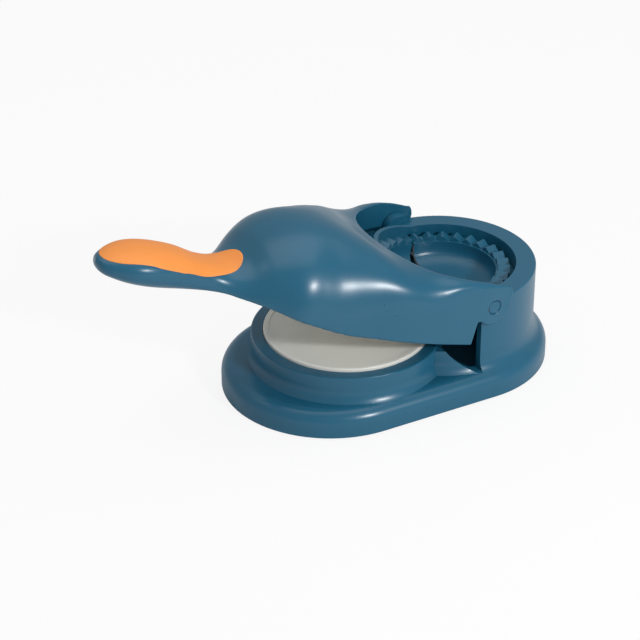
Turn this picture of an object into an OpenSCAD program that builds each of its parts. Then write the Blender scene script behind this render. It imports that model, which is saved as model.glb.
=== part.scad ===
// Two-in-one dough press: a round press plate in front, a half-moon pleating mould in the tower
// behind it, and one hinged lever that serves both. Millimetres, +Z up. The origin is on the table,
// on the axis of the press plate. +X runs to the tower, the handle points to -X.

/* [Base] */
// Width of the base across the flange
base_w = 115; // [108:1:124]
// Height of the flange that runs round the base
flange_h = 15; // [12:0.5:18]
// Rounding of the flange's upper edge
flange_edge_r = 7.5; // [4:0.5:9]
// Radius of the hollow foot where the walls meet the flange
foot_fillet_r = 10; // [6:0.5:14]
// How far the flange's front arc centre lies ahead of the press plate's axis
flange_lead = 10; // [4:1:16]
// Wall of the moulded shells
wall = 2.5; // [2:0.1:3.2]
// How far the rubber feet lift the shell off the table
foot_proud = 0.8; // [0.4:0.1:2]

/* [Press seat] */
// Outer radius of the round press seat
seat_r = 50.5; // [48:0.5:53]
// Height of the seat's rim
seat_h = 29.3; // [26:0.1:32]
// Radius of the press plate
plate_r = 44; // [40:0.5:46]
// How far the press plate stands proud of the seat's rim
plate_proud = 1.7; // [0.8:0.1:2.5]
// Depth of the press plate's shallow dish
dish_depth = 0.5; // [0.2:0.1:1]

/* [Tower] */
// Distance from the press plate's axis to the tower's axis
tower_x = 58; // [56:0.5:64]
// Outer radius of the tower
tower_r = 50; // [48:0.5:52]
// Height of the tower's rim
tower_h = 55.3; // [50:0.1:60]
// Radius of the round opening in the tower's rim
bore_r = 39.5; // [38:0.5:42]
// Wall of the tower
tower_wall = 4; // [3:0.5:5]
// How far ahead of the tower's axis its side walls end
window_front = 6; // [4:0.5:8]
// Radius of the curved foot of the side windows
window_r = 39.3; // [36:0.1:42]

/* [Hinge] */
// Depth of the hinge axis below the tower's rim
hinge_drop = 3.3; // [2.8:0.1:4.5]
// Radius of the hinge pins
pin_r = 3.2; // [2.5:0.1:4]
// Running gap round a pin in its lug
pin_gap = 0.05; // [0.02:0.01:0.1]
// Radius of the tower's hinge lugs
lug_r = 8; // [6:0.5:9]
// Angle at which the lever rests, above its closed place
rest_angle = 16.8; // [0:0.1:60]

/* [Lever] */
// Half width of the lever's dome over the middle of the press seat
dome_w = 47.2; // [46.5:0.1:49]
// Half width of the lever beside the tower
side_w = 53; // [52.6:0.2:56]
// Gap between the closed lever's lower rim and the seat's rim
rim_gap = 1.3; // [0.8:0.1:3]
// Height of the closed lever's flat rear crown above the tower's rim
crown_rise = 10.4; // [8:0.1:13]
// How far the dome swells above the flat rear crown
swell = 10.4; // [7:0.1:13]
// Distance from the press plate's axis to the handle's tip
handle_reach = 147; // [135:1:165]
// Half width of the handle's paddle
paddle_w = 17; // [14:0.5:20]
// Thickness of the handle's paddle
paddle_t = 18.7; // [15:0.1:21]
// Half width of the handle's neck
neck_w = 13.7; // [10:0.2:16]
// Thickness of the handle's neck
neck_t = 14; // [12:0.2:17]
// Height of the paddle's middle when closed
paddle_z = 47.2; // [44:0.2:52]
// Thickness of the orange grip inlay
inlay_t = 1.2; // [0.8:0.1:1.8]

/* [Moulds] */
// Radius of the filling cups
cup_r = 29; // [26:0.5:31]
// Space left between a closed cup and the press disc
cup_room = 3.2; // [2.5:0.1:6]
// Number of pleating teeth on each half
teeth = 14; // [10:1:18]
// Height of a pleating tooth
tooth_h = 2.4; // [1.5:0.1:3]
// Gap for the dough between the two closed halves
dough_gap = 1.2; // [0.8:0.1:2]
// Height of the front half's ring above the hinge axis
ring_up = 5.3; // [4:0.1:6]

/* [Fits] */
// Gap between moving curved faces
move_gap = 0.3; // [0.25:0.05:0.4]
// Gap round a piece that sits in a pocket
seat_gap = 0.15; // [0.1:0.05:0.25]

/* [Hidden] */
$fn = 96;
eps = 0.01;
far = 400;

BLUE = "#3c6882";
DEEP_BLUE = "#2f566e";
ORANGE = "#fdb05c";
CREAM = "#efece4";
STEEL = "#b9bcc0";
BLACK = "#26282a";

// Heights that follow the tower and the seat
hinge_z = tower_h - hinge_drop;
rim_z = seat_h + rim_gap;
crown_z = tower_h + crown_rise;

// Base
flange_r = base_w / 2;
shell_z = foot_proud;
deck_z = seat_h - 2.8;
plate_top = seat_h + plate_proud;
plate_h = plate_top - deck_z;
plate_lip = 2.5;
plate_web = 2.3;
rim_slab = 3;
cavity_r = tower_r - tower_wall;
window_z = seat_h - 1.3;
window_lead = 14.7;
window_rise = 22.1;
ledge_t = 2;
lip_t = 2.5;
cover_t = 2;
foot_r = 6;
foot_pocket = 0.8;
foot_chamfer = 1;
foot_room = 0.3;
wall_round = 0.8;

// Screws
screw_hole_r = 1.5;
pilot_r = 1.25;
screw_head_r = 2.6;
screw_head_h = 1.6;
boss_r = 4;
boss_h = 4;
head_room = 0.3;
head_sink = 1;
cover_screw_l = 8;
plate_screw_l = wall + boss_h + 2;
web_screw_l = 8;
handle_screw_l = 7;
slot_w = 0.6;
slot_l = 3;
slot_h = 0.9;

// Moulds, all heights measured from the hinge axis
front_ring_r = bore_r - 0.7;
ring_t = 2.2;
groove_r = front_ring_r - ring_t - 0.4;
foot_in_r = groove_r - 4.2;
band_z = -dough_gap / 2;
groove_z = -ring_up - 0.7;
split_gap = 0.3;
cup_wall = 1.6;
cup_power = 4.5;
cup_steps = 14;
mould_screw_r = (foot_in_r + groove_r) / 2;
mould_screw_angles = [-58, 0, 58];
ledge_in_r = foot_in_r - 0.8;

// Lever, drawn closed and then raised to its resting angle
recess_r = tower_r + 0.8;
recess_z = 2 * hinge_z - tower_h - move_gap;
recess_floor = 2.2;
recess_wall = 2.2;
rear_foot_z = groove_z - ledge_t - 0.1;
front_foot_z = recess_z - recess_floor - hinge_z;
ear_in = tower_r + move_gap;
ear_r = 10;
ear_end = tower_r + 1.4;
ear_corner = 8;
ear_taper = 8;
skirt_x = tower_x - window_front - 2.3;
skirt_step_z = hinge_z - 8.3;
shell_t = 3;
disc_r = plate_r - 1;
disc_z = plate_top + dough_gap;
disc_t = 2;
disc_rim = 1.5;
peg_r = 2.2;
web_z = disc_z + disc_t + screw_head_h + 0.4;
web_t = 2;
cup_depth = hinge_z - disc_z - disc_t - cup_wall - cup_room;
pin_press = 0.02;
lug_in = tower_r - 5.5;
pin_recess_r = pin_r + 0.85;
pin_recess = 1;
pin_out = half_w(tower_x) - 0.4;
web_r = dome_w - shell_t + 0.8;
under_front = 47;
under_h = 13;
loft_step = 6;
loft_top = 22;
loft_bottom = 8;

web_screws = [
    [-0.74 * web_r, 0], [-0.17 * web_r, 0.78 * web_r], [-0.17 * web_r, -0.78 * web_r],
    [0.4 * web_r, 0.745 * web_r], [0.4 * web_r, -0.745 * web_r]
];
disc_pegs = [for (a = [180, 73, -73]) [0.47 * disc_r * cos(a), 0.47 * disc_r * sin(a)]];
plate_screws = [for (a = [180, 60, -60]) [plate_r / 2 * cos(a), plate_r / 2 * sin(a)]];
front_screw_r = flange_r - 12.5;
rear_screw_r = flange_r - 9.4;
cover_screws = [for (s = [1, -1]) each [
    [front_screw_r * cos(143) - flange_lead, s * front_screw_r * sin(143)],
    [seat_h * 0.4, s * (flange_r - 6.5)],
    [tower_x + rear_screw_r * cos(45), s * rear_screw_r * sin(45)]
]];
foot_spots = [
    [-flange_r * 0.66, 0], [tower_x * 0.62, flange_r * 0.59],
    [tower_x * 0.62, -flange_r * 0.59], [tower_x + flange_r * 0.59, 0]
];

// Easing from 0 to 1 with level ends
function ease(t) = let (u = max(0, min(1, t))) u * u * (3 - 2 * u);

// Smooth curve through keys [place, value], by cubic pieces with averaged slopes
function slope(k, i) =
    i == 0 ? (k[1][1] - k[0][1]) / (k[1][0] - k[0][0])
    : i == len(k) - 1 ? (k[i][1] - k[i - 1][1]) / (k[i][0] - k[i - 1][0])
    : (k[i + 1][1] - k[i - 1][1]) / (k[i + 1][0] - k[i - 1][0]);
function span(k, x, i = 0) = i >= len(k) - 2 || x < k[i + 1][0] ? i : span(k, x, i + 1);
function cubic(k, x, i, h, t) =
    (2 * t ^ 3 - 3 * t ^ 2 + 1) * k[i][1] + (t ^ 3 - 2 * t ^ 2 + t) * h * slope(k, i)
    + (3 * t ^ 2 - 2 * t ^ 3) * k[i + 1][1] + (t ^ 3 - t ^ 2) * h * slope(k, i + 1);
function curve(k, x) =
    let (i = span(k, x), h = k[i + 1][0] - k[i][0], t = max(0, min(1, (x - k[i][0]) / h)))
    cubic(k, x, i, h, t);

// The lever's form along its length: half width, crown, underside and squareness.
// Keys on the handle sit at shares of its length, from the tip to where the dome flares out.
tip = -handle_reach;
flare_x = -66;
function along(share) = tip + (flare_x - tip) * share;
neck_x = along(0.716);
neck_top = paddle_z + 3.8;
neck_low = neck_top - neck_t;
dome_top = crown_z + swell;
width_keys = [
    [tip, 0], [along(0.025), paddle_w * 0.38], [along(0.1), paddle_w * 0.694],
    [along(0.21), paddle_w * 0.947], [along(0.346), paddle_w],
    [along(0.531), (paddle_w + neck_w) / 2 - 0.5], [neck_x, neck_w],
    [along(0.827), neck_w + 2.2], [along(0.926), neck_w + 7.2], [-62, dome_w * 0.638],
    [-50, dome_w * 0.845], [-38, dome_w * 0.915], [-25, dome_w * 0.962], [-10, dome_w],
    [5, dome_w + 3.1], [20, side_w - 0.8], [36, side_w], [tower_x + 20, side_w]
];
crown_keys = [
    [tip, paddle_z + 1.6], [along(0.025), paddle_z + 3], [along(0.1), paddle_z + paddle_t * 0.332],
    [along(0.21), paddle_z + paddle_t * 0.46], [along(0.346), paddle_z + paddle_t / 2],
    [along(0.531), neck_top + 4.2], [neck_x, neck_top + 0.2], [along(0.889), neck_top - 0.5],
    [along(0.975), neck_top + 3.7], [-60, crown_z - 1.6], [-50, dome_top - 4.9],
    [-38, dome_top - 0.5], [-25, dome_top], [-10, dome_top - 3.3],
    [tower_x - recess_r, crown_z + 1.2], [25, crown_z], [tower_x + 20, crown_z]
];
keel_keys = [
    [tip, paddle_z - 0.6], [along(0.025), paddle_z - 4.2], [along(0.1), paddle_z - paddle_t * 0.348],
    [along(0.21), paddle_z - paddle_t * 0.438], [along(0.346), paddle_z - paddle_t / 2],
    [along(0.531), neck_low], [neck_x, neck_low + 0.1], [along(0.877), rim_z + 7.1],
    [along(0.975), rim_z + 7.4], [-60, rim_z + 7], [-50, rim_z + 5.4], [-40, rim_z + 3.6],
    [-28, rim_z + 1.4], [-14, rim_z], [tower_x + 20, rim_z]
];
belt_keys = [[tip, 0.5], [along(0.531), 0.45], [along(0.778), 0.22], [flare_x, 0], [tower_x + 20, 0]];
square_keys = [
    [tip, 2.1], [neck_x, 2.6], [along(0.889), 2.4], [-60, 2.4], [-45, 2.3], [-29, 2.3],
    [-12, 3.2], [5, 5], [25, 6.6], [36, 14], [46, 24], [tower_x + 20, 24]
];
inlay_keys = [
    [along(0.02), paddle_w - 1.4], [along(0.284), paddle_w - 1.1], [along(0.358), paddle_w - 0.9],
    [along(0.494), neck_w + 1.1], [along(0.61), neck_w - 0.2], [along(0.728), neck_w - 1.2],
    [along(0.827), neck_w - 1.6], [flare_x, neck_w - 1.7]
];
handle_screws = [along(0.284), along(0.778)];
cover_from = along(0.27);
cover_w = 8;
handle_cover_t = 2.2;
inlay_tip = along(0.025);
inlay_neck = along(0.98);
inlay_steps = 20;
inlay_tip_power = 2.8;
inlay_neck_power = 8;

function half_w(x) =
    x > tower_x - ear_taper ? side_w + (ear_end - side_w) * ease((x - tower_x + ear_taper) / (ear_r + ear_taper))
    : curve(width_keys, x);

// One section of the lever, from the right edge over the crown to the left and back underneath
function section(x, grow) =
    let (
        w = max(0.4, half_w(x) + grow),
        top = curve(crown_keys, x) + grow,
        low = curve(keel_keys, x) - grow,
        belt = low + (top - low) * max(0, curve(belt_keys, x)),
        n = curve(square_keys, x)
    )
    concat(
        [for (i = [0 : loft_top])
            let (a = 180 * i / loft_top, c = cos(a), s = sin(a))
            [x, sign(c) * w * abs(c) ^ (2 / n), belt + (top - belt) * abs(s) ^ (2 / n)]],
        [for (i = [1 : loft_bottom - 1])
            let (a = 180 + 180 * i / loft_bottom, c = cos(a), s = sin(a))
            [x, sign(c) * w * abs(c) ^ (2 / 2.4), belt - (belt - low) * abs(s) ^ (2 / 2.4)]]
    );

// Solid through sections, with flat ends
module loft(rings) {
    n = len(rings[0]);
    m = len(rings);
    start = loft_top / 2;
    polyhedron(
        points = [for (r = rings) each r],
        faces = concat(
            [[for (i = [0 : n - 1]) (i + start) % n]],
            [for (j = [0 : m - 2], i = [0 : n - 1]) each [
                [j * n + i, (j + 1) * n + i, (j + 1) * n + (i + 1) % n],
                [j * n + i, (j + 1) * n + (i + 1) % n, j * n + (i + 1) % n]
            ]],
            [[for (i = [n - 1 : -1 : 0]) (m - 1) * n + (i + start) % n]]
        )
    );
}

// Stations along the lever, closer together at the tip and where the neck flares
function stations(first, last) = concat(
    [for (d = [0.15, 0.8, 2, 4, 7, 11]) if (tip + d > first) tip + d],
    [for (x = [max(first, tip + 16) : loft_step : last - 2]) x],
    [last]
);

module lever_form(grow, first, last) {
    loft([for (x = stations(first, last)) section(x, grow)]);
}

// Turned shape about an upright axis at x
module turned(x) {
    translate([x, 0, 0])
        rotate_extrude()
            children();
}

// Cylinder along Y, centred on the hinge axis
module hinge_rod(r, from, to) {
    translate([tower_x, from, hinge_z])
        rotate([-90, 0, 0])
            cylinder(r = r, h = to - from);
}

// Drawing in the XZ plane, as thick as the part is wide
module side_cut() {
    translate([0, far / 2, 0])
        rotate([90, 0, 0])
            linear_extrude(far)
                children();
}

module raised() {
    translate([tower_x, 0, hinge_z])
        rotate([0, rest_angle, 0])
            translate([-tower_x, 0, -hinge_z])
                children();
}

// Pan head screw, head down, its seat at z = 0
module screw(length) {
    difference() {
        translate([0, 0, -screw_head_h])
            cylinder(r = screw_head_r, h = screw_head_h);
        for (a = [0, 90])
            rotate([0, 0, a])
                translate([-slot_l / 2, -slot_w / 2, -screw_head_h - eps])
                    cube([slot_l, slot_w, slot_h]);
    }
    cylinder(r = pilot_r - pin_press, h = length);
}

// ---- Base ----

// Half section of the flange, or of its hollow when drawn in by inset
module flange_profile(inset, bottom) {
    r = flange_r - inset;
    h = flange_h - inset;
    edge = max(0.5, flange_edge_r - inset);
    translate([0, bottom])
        square([r, h - edge - bottom]);
    translate([0, bottom])
        square([r - edge, h - bottom]);
    intersection() {
        translate([r - edge, h - edge])
            circle(edge);
        square([r, h]);
    }
}

module stadium(r, h) {
    linear_extrude(h) {
        translate([-flange_lead, 0])
            circle(r);
        translate([tower_x, 0])
            circle(r);
        translate([-flange_lead, -r])
            square([tower_x + flange_lead, 2 * r]);
    }
}

module flange_form(inset, bottom) {
    translate([-flange_lead, 0, 0])
        rotate([0, 0, 90])
            rotate_extrude(angle = 180)
                flange_profile(inset, bottom);
    translate([tower_x, 0, 0])
        rotate([0, 0, -90])
            rotate_extrude(angle = 180)
                flange_profile(inset, bottom);
    translate([-flange_lead, 0, 0])
        rotate([90, 0, 90])
            linear_extrude(tower_x + flange_lead) {
                flange_profile(inset, bottom);
                mirror([1, 0])
                    flange_profile(inset, bottom);
            }
}

// Hollow foot between an upright wall of radius r and the flange's rounded edge
module wall_foot(r) {
    gap = flange_r - r;
    reach = flange_edge_r + foot_fillet_r;
    top = flange_h - flange_edge_r + sqrt(reach ^ 2 - (reach - gap) ^ 2);
    difference() {
        translate([r - 1, flange_h - flange_edge_r])
            square([1 + foot_fillet_r * gap / reach, top - flange_h + flange_edge_r]);
        translate([r + foot_fillet_r, top])
            circle(foot_fillet_r);
    }
}

module rounded_wall(r, h, edge) {
    translate([0, shell_z])
        square([r, h - edge - shell_z]);
    translate([0, shell_z])
        square([r - edge, h - shell_z]);
    translate([r - edge, h - edge])
        circle(edge);
}

module tower_form() {
    front = tower_x - window_front;
    difference() {
        turned(tower_x) {
            rounded_wall(tower_r, tower_h, wall_round);
            wall_foot(tower_r);
        }
        side_cut() {
            translate([-far, window_z])
                square([far + front, far]);
            intersection() {
                translate([front + window_lead, window_z + window_rise])
                    circle(window_r);
                square([front, far]);
            }
        }
    }
}

// Round bosses on the tower's walls that the hinge pins turn in
module lugs() {
    intersection() {
        union() {
            hinge_rod(lug_r, -tower_r, -lug_in);
            hinge_rod(lug_r, lug_in, tower_r);
        }
        translate([tower_x, 0, 0])
            cylinder(r = tower_r, h = far);
    }
}

module seat_form() {
    turned(0) {
        rounded_wall(seat_r, seat_h, wall_round);
        wall_foot(seat_r);
    }
}

module base_cavity() {
    flange_form(wall, -eps);
    cylinder(r = seat_r - wall, h = deck_z - wall);
    difference() {
        translate([tower_x, 0, 0])
            cylinder(r = cavity_r, h = tower_h - rim_slab);
        cylinder(r = seat_r, h = seat_h);
    }
}

// Lip under the tower's rim and the ledge that carries the rear mould
module rear_ledge(top) {
    intersection() {
        translate([tower_x, 0, top - ledge_t])
            difference() {
                cylinder(r = bore_r + lip_t, h = tower_h - rim_slab - top + ledge_t + 0.5);
                translate([0, 0, ledge_t])
                    cylinder(r = bore_r, h = far);
                translate([0, 0, -eps])
                    cylinder(r = ledge_in_r, h = far);
            }
        translate([tower_x + 1, -far / 2, 0])
            cube([far, far, far]);
    }
}

module base_shell() {
    ledge_top = hinge_z + groove_z - ledge_t - 0.1;
    color(BLUE)
        difference() {
            union() {
                difference() {
                    union() {
                        flange_form(0, shell_z);
                        seat_form();
                        tower_form();
                    }
                    base_cavity();
                    // Pocket of the press plate
                    translate([0, 0, deck_z])
                        cylinder(r = plate_r + seat_gap * 2, h = far);
                    // Opening in the tower's rim
                    translate([tower_x, 0, tower_h - rim_slab - 1])
                        cylinder(r = bore_r, h = far);
                }
                lugs();
                rear_ledge(ledge_top);
                for (p = plate_screws)
                    translate([p[0], p[1], deck_z - wall - boss_h])
                        cylinder(r = boss_r, h = boss_h + eps);
                for (p = cover_screws)
                    translate([p[0], p[1], shell_z + cover_t])
                        cylinder(r = boss_r, h = flange_h - wall - shell_z - cover_t + eps);
            }
            hinge_rod(pin_r + pin_gap, -tower_r - 1, -lug_in + 1);
            hinge_rod(pin_r + pin_gap, lug_in - 1, tower_r + 1);
            for (p = plate_screws)
                translate([p[0], p[1], deck_z - wall - boss_h - 1])
                    cylinder(r = screw_hole_r, h = far);
            for (p = cover_screws)
                translate([p[0], p[1], 0])
                    cylinder(r = pilot_r, h = flange_h - wall - 1);
            for (a = mould_screw_angles)
                translate([tower_x + mould_screw_r * cos(a), mould_screw_r * sin(a), ledge_top - ledge_t - 1])
                    cylinder(r = screw_hole_r, h = far);
        }
}

module bottom_cover() {
    color(DEEP_BLUE)
        difference() {
            translate([0, 0, shell_z])
                stadium(flange_r - wall - seat_gap, cover_t);
            for (p = cover_screws)
                translate([p[0], p[1], 0]) {
                    cylinder(r = screw_hole_r, h = far);
                    cylinder(r = screw_head_r + head_room, h = shell_z + head_sink);
                }
            for (p = concat([[0, 0]], foot_spots))
                translate([p[0], p[1], 0])
                    cylinder(r = foot_r + seat_gap, h = shell_z + foot_pocket);
        }
}

module bottom_cover_screws() {
    color(STEEL)
        for (p = cover_screws)
            translate([p[0], p[1], shell_z + head_sink])
                screw(cover_screw_l);
}

module foot_pad() {
    rotate_extrude() {
        square([foot_r, foot_proud + foot_pocket - foot_room]);
        square([foot_r - foot_chamfer, foot_proud + foot_pocket]);
    }
}

module foot_pads() {
    color(BLACK)
        for (p = foot_spots)
            translate([p[0], p[1], 0])
                foot_pad();
}

module centre_foot() {
    color(BLACK)
        foot_pad();
}

module press_plate() {
    color(CREAM)
        difference() {
            union() {
                translate([0, 0, deck_z])
                    rotate_extrude() {
                        difference() {
                            translate([0, plate_h - plate_web - dish_depth])
                                square([plate_r - 1, plate_web + dish_depth]);
                            translate([0, plate_h - dish_depth])
                                square([plate_r - 3, far]);
                        }
                        translate([plate_r - plate_lip, 0])
                            square([plate_lip, plate_h - 1]);
                        translate([plate_r - 1, plate_h - 1])
                            circle(1);
                    }
                for (p = plate_screws)
                    translate([p[0], p[1], deck_z])
                        cylinder(r = boss_r, h = plate_h - plate_web - dish_depth + eps);
            }
            for (p = plate_screws)
                translate([p[0], p[1], deck_z - 1])
                    cylinder(r = pilot_r, h = plate_h - plate_web + 0.8);
        }
}

module press_plate_screws() {
    color(STEEL)
        for (p = plate_screws)
            translate([p[0], p[1], deck_z - wall - boss_h])
                screw(plate_screw_l);
}

// ---- Moulds ----

// Right half of a cup's outline: a level floor that turns up into steep sides
function cup_outline(r, depth) = concat(
    [[0, 1], [0, -depth]],
    [for (i = [1 : cup_steps])
        let (a = 90 * i / cup_steps)
        [r * sin(a) ^ (2 / cup_power), -depth * cos(a) ^ (2 / cup_power)]],
    [[r, 1]]
);

// Radial teeth on the band between the cup and the ring, on the half that faces +X
module pleating_teeth(from_r, to_r, shift) {
    pitch = 180 / teeth;
    width = 2 * from_r * tan(pitch / 2) - 0.2;
    for (i = [0 : teeth - 1 + (shift == 0 ? 1 : 0)])
        rotate([0, 0, -90 + pitch * (i + shift)])
            translate([from_r, 0, band_z - tooth_h / 2 - 0.5])
                rotate([90, 0, 90])
                    linear_extrude(to_r - from_r)
                        polygon([
                            [-width / 2, 0], [width / 2, 0], [width / 2, 0.5],
                            [0.5, tooth_h + 0.5], [-0.5, tooth_h + 0.5], [-width / 2, 0.5]
                        ]);
}

// Depth of a mould's screw holes, from its foot to just under its band
function pilot_depth(foot_z) = band_z - tooth_h / 2 - foot_z - 0.6;

// Half mould on the +X side of the hinge axis, which is at z = 0
module half_mould(ring_r, ring_top, foot_r, foot_z, foot_top, shift) {
    band_low = band_z - tooth_h / 2;
    inner = ring_r > groove_r ? ring_r - ring_t : groove_r;
    intersection() {
        difference() {
            union() {
                rotate_extrude() {
                    translate([0, band_low - 2])
                        square([inner, 2]);
                    translate([foot_in_r, foot_z])
                        square([foot_r - foot_in_r, foot_top - foot_z]);
                    translate([foot_in_r, foot_z])
                        square([inner - foot_in_r, band_low - foot_z]);
                    if (ring_r > groove_r)
                        translate([inner, foot_z])
                            square([ring_t, ring_top - foot_z]);
                }
                pleating_teeth(cup_r + 1, ring_r > groove_r ? inner + 0.8 : inner, shift);
                rotate_extrude()
                    intersection() {
                        polygon(cup_outline(cup_r + cup_wall, cup_depth + cup_wall));
                        translate([0, -far + band_low])
                            square([far, far]);
                    }
            }
            rotate_extrude()
                polygon(cup_outline(cup_r, cup_depth));
            for (a = mould_screw_angles)
                translate([mould_screw_r * cos(a), mould_screw_r * sin(a), foot_z - 1])
                    cylinder(r = pilot_r, h = pilot_depth(foot_z) + 1);
        }
        translate([split_gap, -far / 2, -far / 2])
            cube([far, far, far]);
    }
}

module rear_mould() {
    color(BLUE)
        translate([tower_x, 0, hinge_z])
            half_mould(groove_r, 0, bore_r - seat_gap, rear_foot_z, groove_z, 0.5);
}

module mould_screws(side, foot_z) {
    for (a = mould_screw_angles)
        translate([
            tower_x + side * mould_screw_r * cos(a), mould_screw_r * sin(a),
            hinge_z + foot_z - ledge_t
        ])
            screw(ledge_t + pilot_depth(foot_z) - 0.3);
}

module rear_mould_screws() {
    color(STEEL)
        mould_screws(1, rear_foot_z);
}

module front_mould() {
    color(BLUE)
        raised()
            translate([tower_x, 0, hinge_z])
                mirror([1, 0, 0])
                    half_mould(
                        front_ring_r, ring_up, front_ring_r,
                        front_foot_z, recess_z - hinge_z, 0
                    );
}

module front_mould_screws() {
    color(STEEL)
        raised()
            mould_screws(-1, front_foot_z);
}

// ---- Lever ----

// Side outline of the ear behind the skirt
module ear_outline() {
    translate([tower_x, hinge_z])
        circle(ear_r);
    translate([0, skirt_step_z])
        square([tower_x, far]);
    translate([tower_x - eps, hinge_z])
        square([ear_r - ear_corner + eps, far]);
    translate([tower_x - eps, hinge_z])
        square([ear_r, crown_z - ear_corner - hinge_z]);
    translate([tower_x + ear_r - ear_corner, crown_z - ear_corner])
        circle(ear_corner);
}

module lever_trim() {
    side_cut()
        difference() {
            translate([skirt_x, 0])
                square([far, far]);
            ear_outline();
        }
}

// Open underside below the loft's hollow, round over the press seat
module underside() {
    xs = [for (x = [-under_front : 4 : tower_x + 12]) x];
    translate([0, 0, rim_z - 5])
        linear_extrude(under_h)
            intersection() {
                polygon(concat(
                    [for (x = xs) [x, half_w(x) - shell_t]],
                    [for (i = [len(xs) - 1 : -1 : 0]) [xs[i], shell_t - half_w(xs[i])]]
                ));
                union() {
                    circle(under_front);
                    translate([0, -far / 2])
                        square([far, far]);
                }
            }
}

// Height of the lever's crown side at a place in plan
function crown_at(x, y) =
    let (
        low = curve(keel_keys, x),
        top = curve(crown_keys, x),
        belt = low + (top - low) * max(0, curve(belt_keys, x)),
        n = curve(square_keys, x)
    )
    belt + (top - belt) * max(0, 1 - abs(y / half_w(x)) ^ n) ^ (1 / n);

// Room over the recess floor, which the tower's rim fills when the lever is folded over
module recess_room() {
    translate([tower_x, 0, recess_z])
        cylinder(r = recess_r, h = far);
    translate([tower_x - window_front, -ear_in, recess_z])
        cube([far, 2 * ear_in, far]);
    translate([skirt_x, -ear_in, 0])
        cube([far, 2 * ear_in, far]);
    hinge_rod(lug_r + 0.5, -ear_in, ear_in);
}

module lever_hollow() {
    difference() {
        union() {
            lever_form(-shell_t, tip + 8, tower_x + 16);
            underside();
        }
        translate([tower_x, 0, recess_z - recess_floor])
            cylinder(r = recess_r + recess_wall, h = far);
    }
}

module front_ledge() {
    translate([tower_x, 0, recess_z - recess_floor - ledge_t])
        cylinder(r = front_ring_r + 3, h = ledge_t + eps);
}

module mould_pocket() {
    translate([tower_x, 0, recess_z - recess_floor])
        cylinder(r = front_ring_r + seat_gap, h = far);
    translate([tower_x, 0, 0])
        cylinder(r = ledge_in_r, h = far);
    for (a = mould_screw_angles)
        translate([tower_x - mould_screw_r * cos(a), mould_screw_r * sin(a), 0])
            cylinder(r = screw_hole_r, h = far);
}

// Outline of the grip inlay from above, rounder at the tip than at the neck
function inlay_w(t) =
    let (x = (inlay_tip + inlay_neck + t * (inlay_neck - inlay_tip)) / 2)
    curve(inlay_keys, x)
        * sqrt(max(0, 1 - abs(t) ^ (t < 0 ? inlay_tip_power : inlay_neck_power)));

module inlay_plan(grow) {
    middle = (inlay_tip + inlay_neck) / 2;
    half = (inlay_neck - inlay_tip) / 2 + grow;
    places = [for (i = [0 : inlay_steps]) -cos(180 * i / inlay_steps)];
    polygon(concat(
        [[middle - half, 0]],
        [for (i = [1 : inlay_steps - 1]) [middle + places[i] * half, -inlay_w(places[i]) - grow]],
        [[middle + half, 0]],
        [for (i = [inlay_steps - 1 : -1 : 1]) [middle + places[i] * half, inlay_w(places[i]) + grow]]
    ));
}

module cover_plan(grow) {
    for (x = [cover_from, flare_x])
        translate([x, 0])
            circle(cover_w + grow);
    translate([cover_from, -cover_w - grow])
        square([flare_x - cover_from, 2 * (cover_w + grow)]);
}

// Skin of the lever, from the surface down to a depth, inside an upright outline
module skin(depth) {
    intersection() {
        children();
        difference() {
            lever_form(0.02, tip, neck_x + 39);
            lever_form(-depth, tip + 0.5, neck_x + 40);
        }
    }
}

module inlay_block(grow) {
    translate([0, 0, paddle_z - 1])
        linear_extrude(far)
            inlay_plan(grow);
}

module handle_cover_block(grow) {
    linear_extrude(paddle_z - 5)
        cover_plan(grow);
}

module lever_posts() {
    for (p = web_screws)
        let (
            crown = crown_at(p[0], abs(p[1]) + boss_r) - 1,
            top = p[0] > tower_x - recess_r ? min(crown, recess_z - 1) : crown
        )
        translate([p[0], p[1], web_z + web_t])
            cylinder(r = boss_r, h = top - web_z - web_t);
    for (x = handle_screws)
        translate([x, 0, curve(keel_keys, x) + handle_cover_t + 0.1])
            cylinder(r = 3.2, h = curve(crown_keys, x) - shell_t / 2 - curve(keel_keys, x) - handle_cover_t);
}

module lever_pilots() {
    for (p = web_screws)
        translate([p[0], p[1], web_z])
            cylinder(r = pilot_r, h = web_screw_l + 1);
    for (x = handle_screws)
        translate([x, 0, curve(keel_keys, x) - 1])
            cylinder(r = pilot_r, h = handle_screw_l + 3);
}

module ear_bores() {
    hinge_rod(pin_r + pin_press, -side_w - 1, side_w + 1);
    hinge_rod(pin_recess_r, pin_out + 0.4 - pin_recess, side_w + 2);
    hinge_rod(pin_recess_r, -side_w - 2, -pin_out - 0.4 + pin_recess);
}

module lever_shell() {
    color(BLUE)
        raised()
            difference() {
                union() {
                    difference() {
                        lever_form(0, tip, tower_x + 14);
                        lever_hollow();
                    }
                    front_ledge();
                    lever_posts();
                }
                recess_room();
                mould_pocket();
                lever_trim();
                handle_cover_block(seat_gap);
                skin(inlay_t + 0.1)
                    inlay_block(seat_gap / 2);
                lever_pilots();
                ear_bores();
            }
}

module lever_cover() {
    color(DEEP_BLUE)
        raised()
            difference() {
                translate([0, 0, web_z])
                    cylinder(r = web_r, h = web_t);
                translate([tower_x, 0, 0])
                    cylinder(r = cup_r + cup_wall + 1, h = far);
                for (p = web_screws)
                    translate([p[0], p[1], 0])
                        cylinder(r = screw_hole_r, h = far);
                for (p = disc_pegs)
                    translate([p[0], p[1], 0])
                        cylinder(r = peg_r + 0.05, h = far);
            }
}

module lever_cover_screws() {
    color(STEEL)
        raised()
            for (p = web_screws)
                translate([p[0], p[1], web_z])
                    screw(web_screw_l);
}

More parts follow.
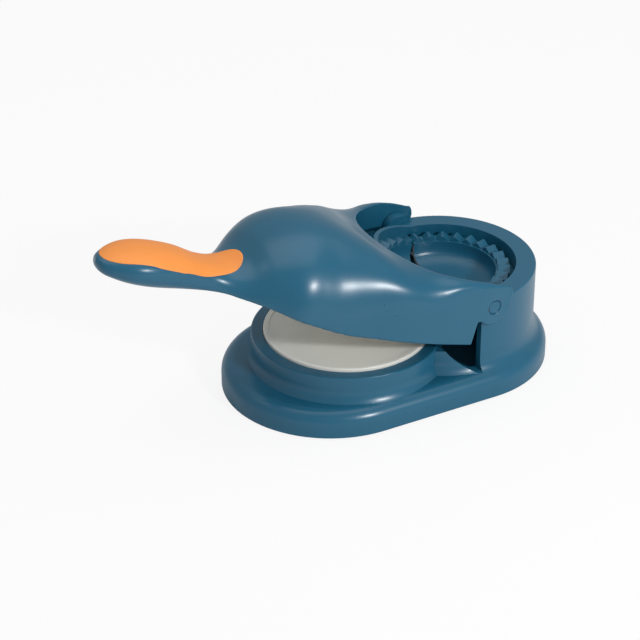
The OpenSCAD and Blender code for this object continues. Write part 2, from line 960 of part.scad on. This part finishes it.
module press_disc() {
    color(CREAM)
        raised()
            translate([0, 0, disc_z]) {
                rotate_extrude() {
                    square([disc_r - 1, disc_t]);
                    translate([disc_r - disc_rim, 1])
                        square([disc_rim, web_z - disc_z - 1]);
                    translate([disc_r - 1, 1])
                        circle(1);
                }
                for (p = disc_pegs)
                    translate([p[0], p[1], 1])
                        cylinder(r = peg_r, h = web_z + web_t - disc_z);
            }
}

module handle_cover() {
    color(BLUE)
        raised()
            difference() {
                skin(handle_cover_t)
                    handle_cover_block(0);
                for (x = handle_screws)
                    translate([x, 0, 0]) {
                        cylinder(r = screw_hole_r, h = far);
                        cylinder(r = screw_head_r + head_room, h = curve(keel_keys, x) + head_sink);
                    }
            }
}

module handle_cover_screws() {
    color(STEEL)
        raised()
            for (x = handle_screws)
                translate([x, 0, curve(keel_keys, x) + head_sink])
                    screw(handle_screw_l);
}

module grip_inlay() {
    color(ORANGE)
        raised()
            skin(inlay_t)
                inlay_block(0);
}

module hinge_pin(side) {
    color(BLUE)
        raised()
            hinge_rod(pin_r, side > 0 ? lug_in : -pin_out, side > 0 ? pin_out : -lug_in);
}

module hinge_pin_left() {
    hinge_pin(1);
}

module hinge_pin_right() {
    hinge_pin(-1);
}

base_shell();
bottom_cover();
bottom_cover_screws();
foot_pads();
centre_foot();
press_plate();
press_plate_screws();
rear_mould();
rear_mould_screws();
lever_shell();
lever_cover();
lever_cover_screws();
press_disc();
front_mould();
front_mould_screws();
handle_cover();
handle_cover_screws();
grip_inlay();
hinge_pin_left();
hinge_pin_right();
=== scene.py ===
"""Looks of a two-in-one dough press: moulded shells, grip inlay, finishes, studio and camera.

Lengths are written in millimetres and go into the meshes in metres. The lever is drawn closed and
then raised about its hinge to the angle at which it rests.
"""

import math

import bpy
import numpy as np
from mathutils import Matrix, Vector


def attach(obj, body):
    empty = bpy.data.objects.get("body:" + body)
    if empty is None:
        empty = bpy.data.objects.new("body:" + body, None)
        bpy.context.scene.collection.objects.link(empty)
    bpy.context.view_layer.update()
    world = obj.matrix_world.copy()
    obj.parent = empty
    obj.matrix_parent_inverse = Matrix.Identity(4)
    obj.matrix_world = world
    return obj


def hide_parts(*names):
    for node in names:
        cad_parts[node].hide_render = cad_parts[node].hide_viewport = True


MM = 0.001

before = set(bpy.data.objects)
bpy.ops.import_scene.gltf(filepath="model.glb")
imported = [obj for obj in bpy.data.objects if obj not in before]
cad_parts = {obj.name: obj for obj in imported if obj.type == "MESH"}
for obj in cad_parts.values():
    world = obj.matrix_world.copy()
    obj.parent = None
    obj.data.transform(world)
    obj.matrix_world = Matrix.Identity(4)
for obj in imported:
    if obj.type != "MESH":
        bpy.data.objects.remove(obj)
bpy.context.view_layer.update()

# ---- Sizes, the same as the solids' ----

# Hinge: axis, resting angle above the closed place, the tower's lugs, shallow bores of the pins
TOWER_X, HINGE_Z, REST_ANGLE = 58.0, 52.0, 16.8
LUG_R, LUG_GAP, PIN_RECESS_R, PIN_FACE = 8.0, 0.5, 4.05, 51.2
# Lever: half widths, rim, crown, and how far the dome swells above the crown
DOME_W, SIDE_W, EAR_END = 47.2, 53.0, 51.4
RIM_Z, CROWN_Z, SWELL = 30.6, 65.7, 10.4
# Handle: reach, then half width and thickness of its paddle and of its neck
REACH, PADDLE_W, PADDLE_T, PADDLE_Z = 147.0, 17.0, 18.7, 47.2
NECK_W, NECK_T = 13.7, 14.0
# Round recess over the tower, its side openings, and its floor and wall
RECESS_R, RECESS_Z, RECESS_T, EAR_IN, WINDOW_X = 50.8, 48.4, 2.2, 50.3, 52.0
# Skirt and ears
SKIRT_X, STEP_Z, EAR_R, EAR_CORNER, EAR_TAPER = 49.7, 43.7, 10.0, 8.0, 8.0
# Pocket of the front mould and the ledge that carries it
RING_R, RING_GAP, LEDGE_IN, LEDGE_T = 38.8, 0.15, 31.2, 2.0
# Wall of the shell, where its hollow begins, and its open underside over the press seat
SHELL_T, HOLLOW_X, UNDER_R, UNDER_H = 3.0, -62.0, 47.0, 8.0


def ease(t):
    """3t^2 - 2t^3 between 0 and 1, level at both ends."""
    t = np.clip(t, 0, 1)
    return t * t * (3 - 2 * t)


def curve(keys, x):
    """Cubic Hermite curve through keys (place, value), each slope the mean over its two neighbours."""
    k = np.asarray(keys, float)
    px, pv = k[:, 0], k[:, 1]
    slope = np.gradient(pv)
    slope[1:-1] = (pv[2:] - pv[:-2]) / (px[2:] - px[:-2])
    slope[0] = (pv[1] - pv[0]) / (px[1] - px[0])
    slope[-1] = (pv[-1] - pv[-2]) / (px[-1] - px[-2])
    i = np.clip(np.searchsorted(px, x, side="right") - 1, 0, len(px) - 2)
    h = px[i + 1] - px[i]
    t = np.clip((x - px[i]) / h, 0, 1)
    return (
        (2 * t**3 - 3 * t**2 + 1) * pv[i]
        + (t**3 - 2 * t**2 + t) * h * slope[i]
        + (3 * t**2 - 2 * t**3) * pv[i + 1]
        + (t**3 - t**2) * h * slope[i + 1]
    )


# ---- The lever's form along its length ----

FLARE_X = -66.0
DOME_TOP = CROWN_Z + SWELL
NECK_TOP = PADDLE_Z + 3.8
NECK_LOW = NECK_TOP - NECK_T


def along(share):
    """Place on the handle, from 0 at its tip to 1 where the dome flares out."""
    return -REACH + (FLARE_X + REACH) * share


WIDTH_KEYS = [
    (along(0), 0), (along(0.025), PADDLE_W * 0.38), (along(0.1), PADDLE_W * 0.694),
    (along(0.21), PADDLE_W * 0.947), (along(0.346), PADDLE_W),
    (along(0.531), (PADDLE_W + NECK_W) / 2 - 0.5), (along(0.716), NECK_W),
    (along(0.827), NECK_W + 2.2), (along(0.926), NECK_W + 7.2), (-62, DOME_W * 0.638),
    (-50, DOME_W * 0.845), (-38, DOME_W * 0.915), (-25, DOME_W * 0.962), (-10, DOME_W),
    (5, DOME_W + 3.1), (20, SIDE_W - 0.8), (36, SIDE_W), (TOWER_X + 20, SIDE_W),
]
CROWN_KEYS = [
    (along(0), PADDLE_Z + 1.6), (along(0.025), PADDLE_Z + 3),
    (along(0.1), PADDLE_Z + PADDLE_T * 0.332), (along(0.21), PADDLE_Z + PADDLE_T * 0.46),
    (along(0.346), PADDLE_Z + PADDLE_T / 2), (along(0.531), NECK_TOP + 4.2),
    (along(0.716), NECK_TOP + 0.2), (along(0.889), NECK_TOP - 0.5), (along(0.975), NECK_TOP + 3.7),
    (-60, CROWN_Z - 1.6), (-50, DOME_TOP - 4.9), (-38, DOME_TOP - 0.5), (-25, DOME_TOP),
    (-10, DOME_TOP - 3.3), (TOWER_X - RECESS_R, CROWN_Z + 1.2), (25, CROWN_Z),
    (TOWER_X + 20, CROWN_Z),
]
KEEL_KEYS = [
    (along(0), PADDLE_Z - 0.6), (along(0.025), PADDLE_Z - 4.2),
    (along(0.1), PADDLE_Z - PADDLE_T * 0.348), (along(0.21), PADDLE_Z - PADDLE_T * 0.438),
    (along(0.346), PADDLE_Z - PADDLE_T / 2), (along(0.531), NECK_LOW),
    (along(0.716), NECK_LOW + 0.1), (along(0.877), RIM_Z + 7.1), (along(0.975), RIM_Z + 7.4),
    (-60, RIM_Z + 7), (-50, RIM_Z + 5.4), (-40, RIM_Z + 3.6), (-28, RIM_Z + 1.4), (-14, RIM_Z),
    (TOWER_X + 20, RIM_Z),
]
BELT_KEYS = [
    (along(0), 0.5), (along(0.531), 0.45), (along(0.778), 0.22), (FLARE_X, 0), (TOWER_X + 20, 0)
]
SQUARE_KEYS = [
    (along(0), 2.1), (along(0.716), 2.6), (along(0.889), 2.4), (-60, 2.4), (-45, 2.3),
    (-29, 2.3), (-12, 3.2), (5, 5), (25, 6.6), (36, 14), (46, 24), (TOWER_X + 20, 24),
]
INLAY_KEYS = [
    (along(0.02), PADDLE_W - 1.4), (along(0.284), PADDLE_W - 1.1), (along(0.358), PADDLE_W - 0.9),
    (along(0.494), NECK_W + 1.1), (along(0.61), NECK_W - 0.2), (along(0.728), NECK_W - 1.2),
    (along(0.827), NECK_W - 1.6), (FLARE_X, NECK_W - 1.7),
]
KEEL_POWER = 2.4
INLAY_MIDDLE = (along(0.025) + along(0.98)) / 2
INLAY_HALF = (along(0.98) - along(0.025)) / 2
INLAY_TIP_POWER, INLAY_NECK_POWER = 2.8, 8.0
COVER_ENDS, COVER_W = (along(0.27), FLARE_X), 8.0


def half_width(x):
    """Half width of the lever at x, drawn in behind the hinge so that the ears end thin."""
    ear = SIDE_W + (EAR_END - SIDE_W) * ease((x - TOWER_X + EAR_TAPER) / (EAR_R + EAR_TAPER))
    return np.maximum(np.where(x > TOWER_X - EAR_TAPER, ear, curve(WIDTH_KEYS, x)), 0.4)


def lever_heights(x):
    """Crown, keel, height of the widest line, and squareness of the lever's section at x."""
    top, low = curve(CROWN_KEYS, x), curve(KEEL_KEYS, x)
    belt = low + (top - low) * np.clip(curve(BELT_KEYS, x), 0, None)
    return top, low, belt, curve(SQUARE_KEYS, x)


def lever_at(x, y, under=False):
    """Point of the lever's skin over (or under) a place in plan: its section is the superellipse
    |y/w|^n + |(z - belt)/h|^n = 1."""
    top, low, belt, n = lever_heights(x)
    share = np.clip(np.abs(y) / half_width(x), 0, 0.9999)
    if under:
        z = belt - (belt - low) * (1 - share**KEEL_POWER) ** (1 / KEEL_POWER)
    else:
        z = belt + (top - belt) * (1 - share**n) ** (1 / n)
    return np.stack([x, y, z], -1)


# ---- Fields: a shape is the set of points where its field is negative ----

def meet(a, b, r=0.0):
    """Inside both a and b, the edge between them rounded to radius r."""
    if r == 0:
        return np.maximum(a, b)
    return np.minimum(-r, np.maximum(a, b)) + np.hypot(np.maximum(r + a, 0), np.maximum(r + b, 0))


def cut(a, b, r=0.0):
    """Inside a and outside b, the edge rounded to radius r."""
    return meet(a, -b, r)


def lever_loft(x, y, z, inset):
    """Distance along the ray from the section's middle to the superellipse, all sizes less inset."""
    top, low, belt, n = lever_heights(x)
    w = np.maximum(half_width(x) - inset, 0.4)
    top, low = top - inset, low + inset
    belt = np.maximum(belt, low)
    rise = z - belt
    h = np.where(rise > 0, np.maximum(top - belt, 0.4), np.maximum(belt - low, 1.5))
    p = np.where(rise > 0, n, KEEL_POWER)
    q = ((np.abs(y) / w) ** p + (np.abs(rise) / h) ** p) ** (1 / p)
    return np.hypot(y, rise) * (1 - 1 / np.maximum(q, 1e-4))


def lever_field(p):
    """The lever's moulded shell when closed: a lofted form less its hollow, the round recess over the
    tower, the mould's pocket and everything behind the skirt but the ears."""
    x, y, z = p
    side = np.abs(y)
    from_tower = np.hypot(x - TOWER_X, y)
    from_hinge = np.hypot(x - TOWER_X, z - HINGE_Z)
    # Lofted form, its lower rim cut level from where the handle flares into the dome
    low = lever_heights(x)[1]
    keel = low - 1.5 * (1 - ease((x + 86) / 18))
    body = meet(lever_loft(x, y, z, 0), keel - z, 0.9)
    body = meet(body, -REACH - x)
    # Hollow over the press seat and under the crown
    hollow = np.maximum(lever_loft(x, y, z, SHELL_T), HOLLOW_X - x)
    round_front = np.where(x < 0, np.hypot(x, y) - UNDER_R, -9.0)
    under = np.maximum.reduce([side - half_width(x) + SHELL_T, z - RIM_Z - UNDER_H, round_front])
    hollow = np.minimum(hollow, under)
    recess_shell = np.maximum(from_tower - RECESS_R - RECESS_T, RECESS_Z - RECESS_T - z)
    hollow = np.maximum(hollow, -recess_shell)
    body = cut(body, hollow, 0.6)
    ledge_low = RECESS_Z - RECESS_T - LEDGE_T
    ledge = np.maximum.reduce([from_tower - RING_R - 3, ledge_low - z, z - RECESS_Z + LEDGE_T])
    body = np.minimum(body, ledge)
    # Recess that clears the tower, its lugs and its rear half
    round_room = np.maximum(from_tower - RECESS_R, RECESS_Z - z)
    side_room = np.maximum.reduce([side - EAR_IN, WINDOW_X - x, RECESS_Z - z])
    rear_room = np.maximum(side - EAR_IN, SKIRT_X - x)
    lug_room = np.maximum(from_hinge - LUG_R - LUG_GAP, side - EAR_IN)
    room = np.minimum.reduce([round_room, side_room, rear_room, lug_room])
    body = cut(body, room, 0.8)
    pocket = np.maximum(from_tower - RING_R - RING_GAP, RECESS_Z - RECESS_T - z)
    body = cut(body, np.minimum(pocket, from_tower - LEDGE_IN), 0.3)
    # Skirt and ears
    corner = meet(x - TOWER_X - EAR_R, z - CROWN_Z, EAR_CORNER)
    ear = np.minimum.reduce([
        from_hinge - EAR_R,
        np.maximum(x - TOWER_X, STEP_Z - z),
        np.maximum(corner, HINGE_Z - z),
    ])
    body = meet(body, np.minimum(x - SKIRT_X, ear), 0.5)
    pin_bore = np.maximum(from_hinge - PIN_RECESS_R, PIN_FACE - side)
    return cut(body, pin_bore, 0.25)


def surface_of(field, xs, ys, zs, relax=2):
    """Closed quad mesh where a field is zero. Each cell of the grid that the surface crosses holds one
    vertex, at the mean of its edge crossings and then moved down the field's gradient onto the surface;
    each grid edge that changes sign becomes a quad of its four cells. All whole arrays."""
    grid = np.meshgrid(xs, ys, zs, indexing="ij")
    f = field(grid)
    inside = f < 0
    shape = np.array(f.shape) - 1
    total = np.zeros(tuple(shape) + (3,))
    count = np.zeros(tuple(shape))
    axes = (xs, ys, zs)
    crossings = []
    for a in range(3):
        lo = [slice(None)] * 3
        hi = [slice(None)] * 3
        lo[a], hi[a] = slice(0, -1), slice(1, None)
        lo, hi = tuple(lo), tuple(hi)
        change = inside[lo] != inside[hi]
        i = np.argwhere(change)
        v0, v1 = f[lo][change], f[hi][change]
        t = v0 / (v0 - v1)
        at = np.stack([axes[d][i[:, d]] for d in range(3)], -1)
        at[:, a] += t * (axes[a][i[:, a] + 1] - axes[a][i[:, a]])
        crossings.append((a, i, inside[lo][change]))
        others = [d for d in range(3) if d != a]
        for du in (0, 1):
            for dv in (0, 1):
                c = i.copy()
                c[:, others[0]] -= du
                c[:, others[1]] -= dv
                ok = ((c >= 0) & (c < shape)).all(1)
                np.add.at(total, tuple(c[ok].T), at[ok])
                np.add.at(count, tuple(c[ok].T), 1)
    used = count > 0
    index = -np.ones(tuple(shape), int)
    index[used] = np.arange(used.sum())
    verts = total[used] / count[used][:, None]
    quads = []
    for a, i, first_inside in crossings:
        u, v = [d for d in range(3) if d != a]
        ok = (i[:, u] > 0) & (i[:, v] > 0) & (i[:, u] < shape[u]) & (i[:, v] < shape[v])
        i, first_inside = i[ok], first_inside[ok]
        corner = []
        for du, dv in ((1, 1), (0, 1), (0, 0), (1, 0)):
            c = i.copy()
            c[:, u] -= du
            c[:, v] -= dv
            corner.append(index[tuple(c.T)])
        q = np.stack(corner, -1)
        flip = first_inside if a != 1 else ~first_inside
        q[~flip] = q[~flip][:, ::-1]
        quads.append(q)
    quads = np.concatenate(quads)
    cell = float(np.median(np.diff(xs)))
    verts = settle(field, verts, cell)
    for _ in range(relax):
        verts = settle(field, verts + 0.5 * (ring_mean(verts, quads) - verts), cell * 0.5)
    return verts, quads


def ring_mean(verts, quads):
    """Mean of each vertex's neighbours along its quads' edges."""
    total = np.zeros_like(verts)
    count = np.zeros(len(verts))
    for k in range(4):
        for other in ((k + 1) % 4, (k + 3) % 4):
            for d in range(3):
                total[:, d] += np.bincount(quads[:, k], verts[quads[:, other], d], len(verts))
            count += np.bincount(quads[:, k], minlength=len(verts))
    return total / count[:, None]


def settle(field, verts, limit, step=0.05):
    """Moves points onto the surface by Newton steps along the field's gradient, each at most limit."""
    for _ in range(3):
        f = field(verts.T)
        g = np.zeros_like(verts)
        for d in range(3):
            e = np.zeros(3)
            e[d] = step
            g[:, d] = (field((verts + e).T) - field((verts - e).T)) / (2 * step)
        size = np.maximum((g**2).sum(1), 0.05)
        move = -(f / size)[:, None] * g
        length = np.linalg.norm(move, axis=1)[:, None]
        verts = verts + move * np.minimum(1, limit / np.maximum(length, 1e-9))
    return verts


def raised(points):
    """Turns closed lever points by the resting angle about the hinge axis, which runs along Y."""
    c, s = math.cos(math.radians(REST_ANGLE)), math.sin(math.radians(REST_ANGLE))
    u, v = points[..., 0] - TOWER_X, points[..., 2] - HINGE_Z
    return np.stack([TOWER_X + u * c + v * s, points[..., 1], HINGE_Z - u * s + v * c], -1)


def piece(name, verts, faces, body, node, smooth_angle=None):
    """Mesh object from millimetre points and faces, riding on a body and standing for a node."""
    mesh = bpy.data.meshes.new(name)
    mesh.from_pydata((verts * MM).tolist(), [], faces.tolist())
    mesh.update()
    obj = bpy.data.objects.new(name, mesh)
    bpy.context.scene.collection.objects.link(obj)
    mesh.polygons.foreach_set("use_smooth", [True] * len(mesh.polygons))
    if smooth_angle is not None:
        mesh.set_sharp_from_angle(angle=math.radians(smooth_angle))
    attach(obj, body)
    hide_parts(node)
    return obj


def stretched(parts):
    """Grid coordinates from stretches (start, end, spacing) set end to end."""
    out = [np.array([parts[0][0]])]
    for start, end, spacing in parts:
        n = max(1, int(round((end - start) / spacing)))
        out.append(np.linspace(start, end, n + 1)[1:])
    return np.concatenate(out)


def inlay_width(t):
    """Half width of the inlay at t from -1 at its tip to 1 at its neck end, rounded at both ends."""
    x = INLAY_MIDDLE + t * INLAY_HALF
    power = np.where(t < 0, INLAY_TIP_POWER, INLAY_NECK_POWER)
    return curve(INLAY_KEYS, x) * np.sqrt(np.clip(1 - np.abs(t) ** power, 0, None))


def skin_plate(outline, spine, proud, depth, under, rows=14):
    """Plate that follows the lever's skin inside an outline: rings of points run from a spine line out
    to the outline, stand a little proud of the skin, roll over at the edge and go down by depth."""
    share = np.concatenate([np.linspace(0, 1, rows) ** 0.8 * 0.975, [0.99, 1.0, 1.0]])
    lift = np.concatenate([np.full(rows, proud), [proud * 0.86, proud * 0.35, -depth]])
    centre = np.stack([np.clip(outline[:, 0], *spine), np.zeros(len(outline))], -1)
    plan = centre[None] + share[:, None, None] * (outline - centre)[None]
    skin = lever_at(plan[..., 0], plan[..., 1], under)
    x, y, step = plan[..., 0], plan[..., 1], 0.05
    slope_x = lever_at(x + step, y, under) - lever_at(x - step, y, under)
    slope_y = lever_at(x, y + step, under) - lever_at(x, y - step, under)
    normal = np.cross(slope_x, slope_y)
    normal /= np.linalg.norm(normal, axis=-1, keepdims=True)
    normal *= -np.sign(normal[..., 2:]) if under else np.sign(normal[..., 2:])
    points = skin + normal * lift[:, None, None]
    m, n = points.shape[:2]
    i, j = np.meshgrid(np.arange(m - 1), np.arange(n), indexing="ij")
    k = (j + 1) % n
    quads = np.stack([i * n + j, (i + 1) * n + j, (i + 1) * n + k, i * n + k], -1).reshape(-1, 4)
    if under:
        quads = quads[:, ::-1]
    return points.reshape(-1, 3), quads


# ---- Materials ----

def srgb(r, g, b):
    """Linear colour from 0-255 display values."""
    c = np.array([r, g, b]) / 255
    return tuple(np.where(c <= 0.04045, c / 12.92, ((c + 0.055) / 1.055) ** 2.4)) + (1.0,)


def shade(colour, k):
    """Colour made k times as bright."""
    return tuple(min(1.0, c * k) for c in colour[:3]) + (1.0,)


class Finish:
    """Node helper: a Principled surface whose colour, roughness and bump come from Object coordinates."""

    def __init__(self, name):
        self.mat = bpy.data.materials.new(name)
        self.mat.use_nodes = True
        self.tree = self.mat.node_tree
        self.tree.nodes.clear()
        self.out = self.add("ShaderNodeOutputMaterial")
        self.bsdf = self.add("ShaderNodeBsdfPrincipled")
        self.link(self.bsdf.outputs[0], self.out.inputs[0])
        self.coords = self.add("ShaderNodeTexCoord").outputs["Object"]

    def add(self, kind, **values):
        node = self.tree.nodes.new(kind)
        for key, value in values.items():
            if key in node.inputs:
                node.inputs[key].default_value = value
            else:
                setattr(node, key, value)
        return node

    def link(self, a, b):
        self.tree.links.new(a, b)

    def noise(self, scale, detail=3.0, rough=0.5, stretch=None):
        node = self.add("ShaderNodeTexNoise", Scale=scale, Detail=detail, Roughness=rough)
        source = self.coords
        if stretch:
            mapping = self.add("ShaderNodeMapping")
            mapping.inputs["Scale"].default_value = stretch
            self.link(source, mapping.inputs[0])
            source = mapping.outputs[0]
        self.link(source, node.inputs["Vector"])
        return node.outputs["Fac"]

    def ramp(self, value, low, high, start=0.0, end=1.0):
        node = self.add("ShaderNodeMapRange", interpolation_type="SMOOTHSTEP")
        node.inputs["From Min"].default_value = start
        node.inputs["From Max"].default_value = end
        node.inputs["To Min"].default_value = low
        node.inputs["To Max"].default_value = high
        self.link(value, node.inputs["Value"])
        return node.outputs["Result"]

    def mix(self, value, a, b):
        node = self.add("ShaderNodeMix", data_type="RGBA")
        node.inputs[6].default_value = a
        node.inputs[7].default_value = b
        self.link(value, node.inputs[0])
        return node.outputs[2]

    def bump(self, height, strength, distance):
        node = self.add("ShaderNodeBump", Strength=strength, Distance=distance)
        self.link(height, node.inputs["Height"])
        return node.outputs["Normal"]


def moulded(name, colour, rough, spread, tone=0.05, grain=0.00002):
    """Moulded plastic: faint tone drift from the melt, a fine spark-eroded grain, and gloss that varies
    where hands rub it."""
    f = Finish(name)
    drift = f.noise(9.0, 2.0)
    f.link(f.mix(f.ramp(drift, 0, 1, 0.2, 0.8), shade(colour, 1 - tone), shade(colour, 1 + tone)),
           f.bsdf.inputs["Base Color"])
    f.link(f.ramp(f.noise(38.0, 2.0, 0.5), rough - spread, rough + spread, 0.2, 0.8),
           f.bsdf.inputs["Roughness"])
    f.link(f.bump(f.noise(2600.0, 2.0, 0.6), 0.15, grain), f.bsdf.inputs["Normal"])
    f.bsdf.inputs["IOR"].default_value = 1.49
    return f.mat


def screw_metal():
    """Zinc-plated steel: turned streaks round each head and small spots."""
    f = Finish("plated_steel")
    streak = f.noise(900.0, 3.0, 0.6, (1.0, 1.0, 8.0))
    f.link(f.mix(streak, srgb(140, 142, 146), srgb(200, 202, 206)), f.bsdf.inputs["Base Color"])
    f.link(f.ramp(streak, 0.28, 0.45), f.bsdf.inputs["Roughness"])
    f.link(f.bump(streak, 0.2, 0.00003), f.bsdf.inputs["Normal"])
    f.bsdf.inputs["Metallic"].default_value = 1.0
    return f.mat


def soft_rubber():
    """Black rubber feet with a dusty, pitted sole."""
    f = Finish("foot_rubber")
    pits = f.noise(1400.0, 4.0, 0.7)
    f.link(f.mix(f.noise(120.0), srgb(30, 31, 33), srgb(58, 58, 58)), f.bsdf.inputs["Base Color"])
    f.link(f.ramp(pits, 0.7, 0.95), f.bsdf.inputs["Roughness"])
    f.link(f.bump(pits, 0.4, 0.0001), f.bsdf.inputs["Normal"])
    return f.mat


petrol = moulded("petrol_plastic", srgb(27, 92, 120), 0.29, 0.02)
petrol_inner = moulded("petrol_plastic_inner", srgb(26, 90, 117), 0.36, 0.05)
petrol_dark = moulded("petrol_plastic_cover", srgb(20, 76, 103), 0.5, 0.06)
orange = moulded("orange_grip", srgb(244, 150, 68), 0.5, 0.05, tone=0.03, grain=0.00004)
cream = moulded("cream_plate", srgb(232, 231, 224), 0.42, 0.06, tone=0.025)
steel = screw_metal()
rubber = soft_rubber()

NODE_FINISH = {
    "bottom_cover": petrol_dark, "foot_pads": rubber, "centre_foot": rubber,
    "press_plate": cream, "press_disc": cream, "rear_mould": petrol_inner,
    "front_mould": petrol_inner, "lever_cover": petrol_dark, "hinge_pin_left": petrol,
    "hinge_pin_right": petrol, "handle_cover": petrol, "base_shell": petrol,
    "lever_shell": petrol, "grip_inlay": orange,
}
for name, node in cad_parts.items():
    finish = NODE_FINISH.get(name, steel)
    node.data.materials.clear()
    node.data.materials.append(finish)

# ---- Pieces ----

COARSE = 1.0

verts, quads = surface_of(
    lever_field,
    stretched([(-149.3, -40, 1.1 * COARSE), (-40, 44, 1.1 * COARSE), (44, 69.5, 0.4 * COARSE)]),
    stretched([(-54.4, -49.2, 0.35 * COARSE), (-49.2, 49.2, 1.1 * COARSE),
               (49.2, 54.4, 0.35 * COARSE)]),
    stretched([(28.5, 45, 1.0 * COARSE), (45, 67, 0.5 * COARSE), (67, 79, 1.0 * COARSE)]),
)
lever_body = piece("lever_body", raised(verts), quads, "lever", "lever_shell")
lever_body.data.materials.append(petrol)

share = -np.cos(np.linspace(0, np.pi, 90))
right_side = np.stack([INLAY_MIDDLE + share * INLAY_HALF, -inlay_width(share)], -1)
outline = np.concatenate([right_side, right_side[-2:0:-1] * (1, -1)])
verts, quads = skin_plate(outline, (along(0.2), along(0.84)), 0.22, 0.8, False, rows=16)
inlay = piece("grip_panel", raised(verts), quads, "lever", "grip_inlay", 40)
inlay.data.materials.append(orange)

turn = np.linspace(0, 2 * np.pi, 160, endpoint=False)
outline = COVER_W * np.stack([np.cos(turn), np.sin(turn)], -1)
outline[:, 0] += np.where(np.cos(turn) > 0, COVER_ENDS[1], COVER_ENDS[0])
verts, quads = skin_plate(outline, COVER_ENDS, 0.18, 0.8, True, rows=8)
cover = piece("handle_under_cover", raised(verts), quads, "lever", "handle_cover", 40)
cover.data.materials.append(petrol)

# ---- Studio ----

def studio_light(name, place, aim, size, power):
    """Soft rectangular lamp at a place, turned to its aim, both in millimetres."""
    lamp = bpy.data.lights.new(name, "AREA")
    lamp.shape = "RECTANGLE"
    lamp.size, lamp.size_y = size[0] * MM, size[1] * MM
    lamp.energy = power
    obj = bpy.data.objects.new(name, lamp)
    bpy.context.scene.collection.objects.link(obj)
    at, to = Vector(place) * MM, Vector(aim) * MM
    turn_to_aim = (to - at).to_track_quat("-Z", "Y").to_matrix().to_4x4()
    obj.matrix_world = Matrix.Translation(at) @ turn_to_aim


studio_light("key", (190, -890, 520), (-10, -20, 60), (130, 80), 5.2)
studio_light("side", (-700, 270, 760), (-40, 0, 40), (120, 120), 0.35)
studio_light("top", (60, 160, 1500), (0, 0, 40), (1800, 1400), 9.0)

# The camera sees a white surround; the object is lit by a dimmer one
WHITE = (1, 1, 1, 1)
SURROUND_LIGHT = 0.43
world = bpy.data.worlds.new("studio")
bpy.context.scene.world = world
world.use_nodes = True
tree = world.node_tree
tree.nodes.clear()
out = tree.nodes.new("ShaderNodeOutputWorld")
seen = tree.nodes.new("ShaderNodeBackground")
seen.inputs[0].default_value = WHITE
lit = tree.nodes.new("ShaderNodeBackground")
lit.inputs[0].default_value = WHITE
lit.inputs[1].default_value = SURROUND_LIGHT
mixer = tree.nodes.new("ShaderNodeMixShader")
path = tree.nodes.new("ShaderNodeLightPath")
tree.links.new(path.outputs["Is Camera Ray"], mixer.inputs[0])
tree.links.new(lit.outputs[0], mixer.inputs[1])
tree.links.new(seen.outputs[0], mixer.inputs[2])
tree.links.new(mixer.outputs[0], out.inputs[0])

# Pale floor, mostly white to the camera so that only the object's soft shadow shows on it
FLOOR_REACH = 6.0
FLOOR_WHITENESS = 0.87
corners = [(-1, -1), (1, -1), (1, 1), (-1, 1)]
floor_mesh = bpy.data.meshes.new("floor")
floor_mesh.from_pydata([(FLOOR_REACH * x, FLOOR_REACH * y, 0) for x, y in corners], [], [(0, 1, 2, 3)])
floor = bpy.data.objects.new("floor", floor_mesh)
bpy.context.scene.collection.objects.link(floor)
paper = Finish("paper_floor")
paper.link(paper.mix(paper.noise(3.0), (0.8, 0.8, 0.8, 1), (0.82, 0.82, 0.82, 1)),
           paper.bsdf.inputs["Base Color"])
paper.bsdf.inputs["Roughness"].default_value = 0.9
glow = paper.add("ShaderNodeEmission")
glow.inputs[0].default_value = WHITE
both = paper.add("ShaderNodeMixShader")
ray = paper.add("ShaderNodeLightPath")
factor = paper.add("ShaderNodeMath", operation="MULTIPLY")
factor.inputs[1].default_value = FLOOR_WHITENESS
paper.link(ray.outputs["Is Camera Ray"], factor.inputs[0])
paper.link(factor.outputs[0], both.inputs[0])
paper.link(paper.bsdf.outputs[0], both.inputs[1])
paper.link(glow.outputs[0], both.inputs[2])
paper.link(both.outputs[0], paper.out.inputs[0])
floor_mesh.materials.append(paper.mat)

bpy.context.scene.view_settings.view_transform = "Standard"

# ---- Camera, at the photograph's viewing angle ----

AZIMUTH, ELEVATION, DISTANCE = math.radians(-28.82), math.radians(30.56), 1137.45
TARGET = Vector((-15.96, 0.0, 38.63))
FOCAL_PIXELS, PICTURE_PIXELS, SENSOR = 2180.37, 640, 36
level = math.cos(ELEVATION)
back = Vector((math.sin(AZIMUTH) * level, -math.cos(AZIMUTH) * level, math.sin(ELEVATION)))
right = Vector((math.cos(AZIMUTH), math.sin(AZIMUTH), 0.0))
up = back.cross(right)
place = (TARGET + back * DISTANCE) * MM
lens = bpy.data.cameras.new("camera")
lens.lens = FOCAL_PIXELS * SENSOR / PICTURE_PIXELS
lens.sensor_width = SENSOR
lens.clip_start, lens.clip_end = 0.05, 20
camera = bpy.data.objects.new("camera", lens)
camera.matrix_world = Matrix((
    (right.x, up.x, back.x, place.x),
    (right.y, up.y, back.y, place.y),
    (right.z, up.z, back.z, place.z),
    (0, 0, 0, 1),
))
bpy.context.scene.collection.objects.link(camera)
bpy.context.scene.camera = camera
